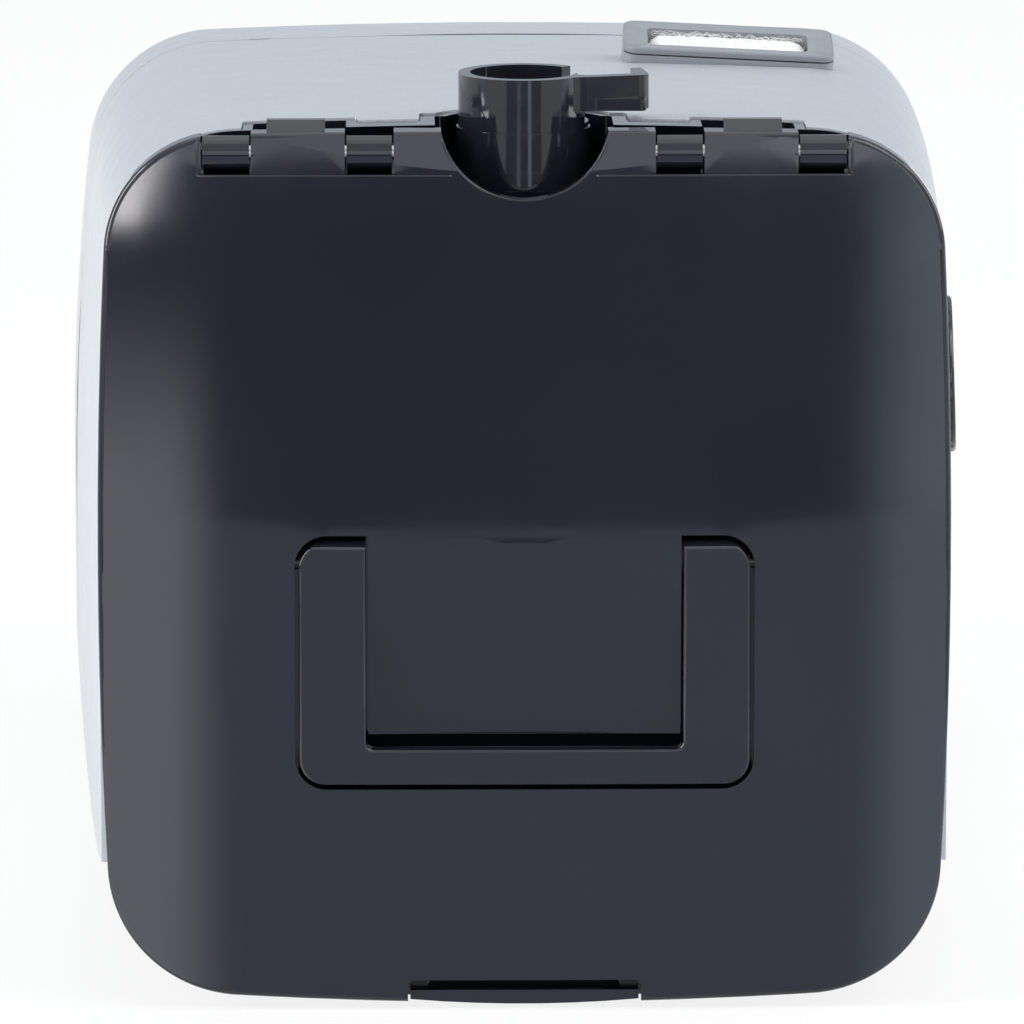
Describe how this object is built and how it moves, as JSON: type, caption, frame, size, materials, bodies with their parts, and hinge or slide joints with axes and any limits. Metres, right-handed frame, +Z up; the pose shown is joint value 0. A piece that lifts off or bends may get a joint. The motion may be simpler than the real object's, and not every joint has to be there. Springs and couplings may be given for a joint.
{
  "type": "CPAP machine",
  "caption": "Bedside breathing-therapy machine with a hinged dark front door and pull handle, top air outlet, filter cassette, side dial and start key, and a heated water chamber.",
  "frame": {"origin": "middle of the footprint, on the surface that the feet stand on", "axes": "+X to the right of someone facing the door, +Y from the door to the rear, +Z up"},
  "size_m": [0.1684, 0.272, 0.1583],
  "materials": {
    "silver_shell": "satin",
    "dark_gloss": "gloss",
    "dark_trim": "fine texture",
    "grey_gloss": "gloss",
    "filter_grey": "satin",
    "fibre": "felted fibre",
    "foam": "open foam",
    "rubber_dark": "matt",
    "silicone": "satin",
    "clear_plastic": "clear",
    "display": "dark",
    "steel": "turned",
    "black_steel": "blackened",
    "aluminium": "satin",
    "inner_plastic": "moulded",
    "board": "coated",
    "key_white": "gloss"
  },
  "bodies": {
    "case": {"outer_sleeve": "silver_shell", "rear_cover": "silver_shell", "base": "dark_trim", "front_frame": "dark_gloss", "bay_liner": "dark_trim", "feet": "rubber_dark", "case_screws": "steel", "hinge_pin_left": "steel", "hinge_pin_right": "steel", "outlet_elbow": "grey_gloss", "outlet_manifold": "inner_plastic", "chamber_tub": "clear_plastic", "chamber_lid": "clear_plastic", "chamber_seal": "silicone", "chamber_base_plate": "aluminium", "heater_springs": "steel", "heater_tray": "inner_plastic", "blower_lower": "inner_plastic", "blower_upper": "inner_plastic", "motor": "aluminium", "blower_mounts": "rubber_dark", "inlet_sleeve": "silicone", "muffler_foam": "foam", "intake_duct": "inner_plastic", "filter_seat": "filter_grey", "control_bezel": "dark_gloss", "display_window": "display", "display_module": "display", "dial_encoder": "inner_plastic", "start_switch": "inner_plastic", "main_board": "board", "power_supply": "board", "power_inlet": "dark_trim", "data_port": "dark_trim", "flap_pin": "steel"},
    "door": {"door_shell": "dark_gloss", "door_liner": "dark_trim", "door_seal": "rubber_dark", "handle_springs": "steel"},
    "handle": {"door_handle": "dark_gloss", "handle_pins": "black_steel"},
    "latch": {"latch_plate": "dark_trim"},
    "rotor": {"impeller": "inner_plastic", "motor_shaft": "steel"},
    "heater": {"heater_plate": "aluminium"},
    "filter_cassette": {"filter_frame": "filter_grey", "filter_pad": "fibre"},
    "dial_stem": {"dial_shaft": "steel"},
    "dial": {"dial_knob": "grey_gloss"},
    "start_key": {"start_button": "key_white"},
    "flap": {"port_flap": "silver_shell"}
  },
  "joints": [
    {"name": "door_hinge", "type": "hinge", "parent": "case", "child": "door", "pos_m": [0, -0.1314, 0.1467], "axis": [-1, 0, 0], "range_deg": [0, 95]},
    {"name": "handle_pivot", "type": "hinge", "parent": "door", "child": "handle", "pos_m": [0, -0.1314, 0.0768], "axis": [-1, 0, 0], "range_deg": [0, 20], "stiffness_Nm_per_rad": 0.05},
    {"name": "latch_slide", "type": "slide", "parent": "door", "child": "latch", "axis": [0, 0, -1], "range_m": [0, 0.0011]},
    {"name": "filter_pull", "type": "slide", "parent": "case", "child": "filter_cassette", "axis": [0.0499, -0.1666, 0.9848], "range_m": [0, 0.012]},
    {"name": "dial_press", "type": "slide", "parent": "case", "child": "dial_stem", "axis": [-0.9982, 0.0478, -0.0368], "range_m": [0, 0.0005], "stiffness_N_per_m": 900},
    {"name": "dial_turn", "type": "hinge", "parent": "dial_stem", "child": "dial", "pos_m": [0.08003, 0.04456, 0.079], "axis": [0.9982, -0.0478, 0.0368], "continuous": true},
    {"name": "start_press", "type": "slide", "parent": "case", "child": "start_key", "axis": [-0.9982, 0.0478, -0.0368], "range_m": [0, 0.0008], "stiffness_N_per_m": 600},
    {"name": "impeller_spin", "type": "hinge", "parent": "case", "child": "rotor", "pos_m": [-0.014, 0.056, 0.026], "axis": [0, 0, 1], "continuous": true},
    {"name": "flap_hinge", "type": "hinge", "parent": "case", "child": "flap", "pos_m": [0.036, 0.1347, 0.0354], "axis": [-1, 0, 0], "range_deg": [0, 90]},
    {"name": "heater_slide", "type": "slide", "parent": "case", "child": "heater", "axis": [0, 0, -1], "range_m": [0, 0.001], "stiffness_N_per_m": 1500, "springref_m": -0.0015, "deforming": ["heater_springs"]}
  ],
  "couplings": [
    {"joint": "latch_slide", "follows": "handle_pivot", "m_per_rad": 0.0031}
  ]
}
